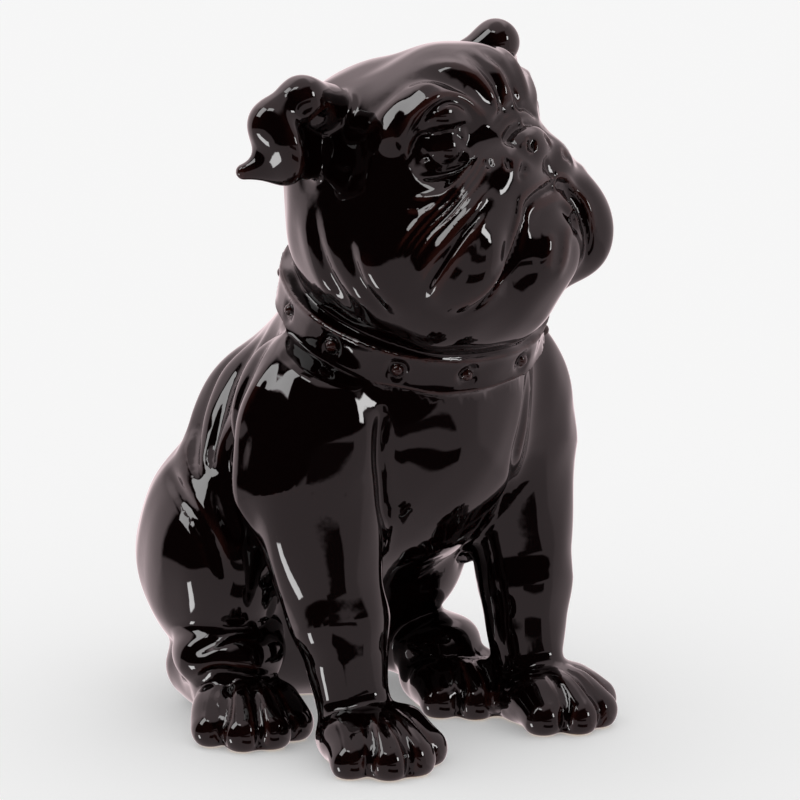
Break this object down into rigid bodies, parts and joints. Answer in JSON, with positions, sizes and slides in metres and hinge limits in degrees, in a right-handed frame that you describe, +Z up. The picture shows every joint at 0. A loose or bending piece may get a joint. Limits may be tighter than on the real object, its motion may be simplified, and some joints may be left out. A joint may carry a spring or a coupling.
{
  "type": "ceramic bulldog figurine",
  "caption": "Sitting bulldog figurine in glazed ceramic, with folded ears, wrinkled face and a moulded studded collar.",
  "frame": {"origin": "on the floor plane, under the middle of the figure's box", "axes": "+Z up, the dog's chest faces -Y and its left side is +X"},
  "size_m": [0.183, 0.21, 0.3],
  "materials": {
    "glaze": "black-brown glossy glaze over ceramic, bare clay only where it stands"
  },
  "bodies": {
    "root": {"bulldog_figurine": "glaze"}
  },
  "joints": []
}
